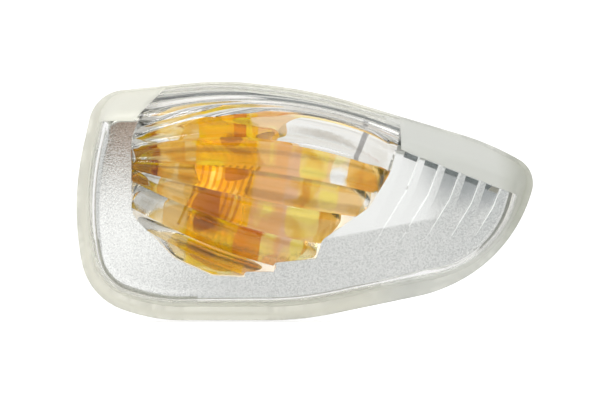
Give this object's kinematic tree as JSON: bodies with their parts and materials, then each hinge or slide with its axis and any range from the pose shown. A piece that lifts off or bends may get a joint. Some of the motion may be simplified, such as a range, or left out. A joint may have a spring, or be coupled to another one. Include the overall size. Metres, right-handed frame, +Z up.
{
  "type": "vehicle indicator lamp",
  "caption": "Leaf-shaped turn indicator lamp for a door mirror: clear fluted lens, satin bezel with terraces, amber filter, bulb in a twist-lock holder.",
  "frame": {"origin": "midway between the two rear screw bosses, on their end faces", "axes": "+X along the lamp to its pointed tip, +Z up, +Y out of the back; the lens faces -Y"},
  "size_m": [0.1199, 0.0641, 0.0627],
  "materials": {
    "clear_lens": "polished clear plastic",
    "satin_bezel": "satin metallised plastic",
    "bright_reflector": "bright metallised plastic",
    "amber_filter": "clear amber plastic",
    "housing": "moulded light grey plastic",
    "black_rubber": "matt rubber",
    "holder": "moulded black plastic",
    "contacts": "stamped strip",
    "bulb_glass": "amber lacquered glass",
    "bead_glass": "clear glass",
    "lead_wire": "drawn wire",
    "filament": "coiled tungsten"
  },
  "bodies": {
    "lamp_body": {"lens": "clear_lens", "bezel": "satin_bezel", "reflector": "bright_reflector", "amber_filter": "amber_filter", "housing": "housing", "vent_cap": "black_rubber"},
    "holder_body": {"bulb_holder": "holder", "holder_seal": "black_rubber", "contact_left": "contacts", "contact_right": "contacts", "bulb_glass": "bulb_glass", "lead_wire_left": "lead_wire", "lead_wire_right": "lead_wire", "filament": "filament", "glass_bead": "bead_glass"}
  },
  "joints": [
    {"name": "bulb_holder_twist", "type": "hinge", "parent": "lamp_body", "child": "holder_body", "pos_m": [-0.0129, 0, 0.0039], "axis": [0, 1, 0], "range_deg": [0, 45]}
  ]
}
